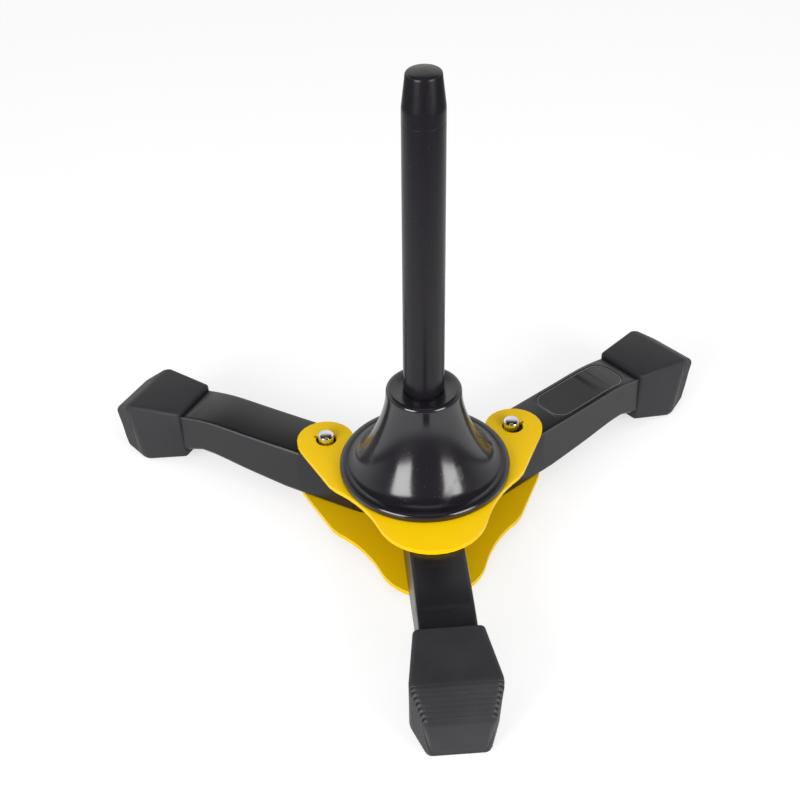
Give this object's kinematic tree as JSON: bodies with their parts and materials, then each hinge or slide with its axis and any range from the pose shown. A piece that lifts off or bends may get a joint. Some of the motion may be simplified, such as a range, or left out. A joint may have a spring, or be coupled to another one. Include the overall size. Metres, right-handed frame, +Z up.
{
  "type": "clarinet stand",
  "caption": "Folding tabletop clarinet stand with a tapered peg, a bell-shaped rest, yellow sheet plates and three arched legs with rubber feet.",
  "frame": {"origin": "on the floor under the middle of the open stand's bounding box", "axes": "+Z up along the peg, the fixed front leg toward -Y, the two folding legs toward +Y on the -X and +X sides"},
  "size_m": [0.2648, 0.2148, 0.2063],
  "materials": {
    "gloss_black": "glossy moulded plastic",
    "satin_black": "satin moulded plastic",
    "rubber": "matte rubber",
    "yellow_paint": "satin powder coat on sheet steel",
    "chrome": "polished",
    "steel": "zinc plated",
    "brass": "turned"
  },
  "bodies": {
    "hub": {"lower_plate": "yellow_paint", "upper_plate": "yellow_paint", "hub_bolt": "steel", "hub_washer": "steel", "hub_nut": "steel", "rest_cone": "gloss_black", "front_leg": "satin_black", "front_foot": "rubber", "front_leg_rivet": "steel", "left_leg_rivet": "steel", "right_leg_rivet": "steel"},
    "left_leg": {"left_leg": "satin_black", "left_foot": "rubber", "left_lock_spring": "steel", "left_lock_plug": "satin_black"},
    "right_leg": {"right_leg": "satin_black", "right_foot": "rubber", "right_lock_spring": "steel", "right_lock_plug": "satin_black"},
    "left_button": {"left_lock_button": "chrome"},
    "right_button": {"right_lock_button": "chrome"},
    "spike": {"spike_tube": "gloss_black", "spike_tip": "gloss_black", "spike_insert": "brass"}
  },
  "joints": [
    {"name": "left_leg_swing", "type": "hinge", "parent": "hub", "child": "left_leg", "pos_m": [-0.02269, 0.02711, 0.02], "axis": [0, 0, 1], "range_deg": [0, 115], "deforming": ["left_lock_button"]},
    {"name": "right_leg_swing", "type": "hinge", "parent": "hub", "child": "right_leg", "pos_m": [0.02591, 0.02711, 0.02], "axis": [0, 0, -1], "range_deg": [0, 118], "deforming": ["right_lock_button"]},
    {"name": "left_button_press", "type": "slide", "parent": "left_leg", "child": "left_button", "axis": [0, 0, -1], "range_m": [0, 0.0054], "stiffness_N_per_m": 400, "springref_m": -0.004, "deforming": ["left_lock_spring"]},
    {"name": "right_button_press", "type": "slide", "parent": "right_leg", "child": "right_button", "axis": [0, 0, -1], "range_m": [0, 0.0054], "stiffness_N_per_m": 400, "springref_m": -0.004, "deforming": ["right_lock_spring"]},
    {"name": "spike_lift", "type": "slide", "parent": "hub", "child": "spike", "axis": [0, 0, 1], "range_m": [0, 0.03]}
  ]
}
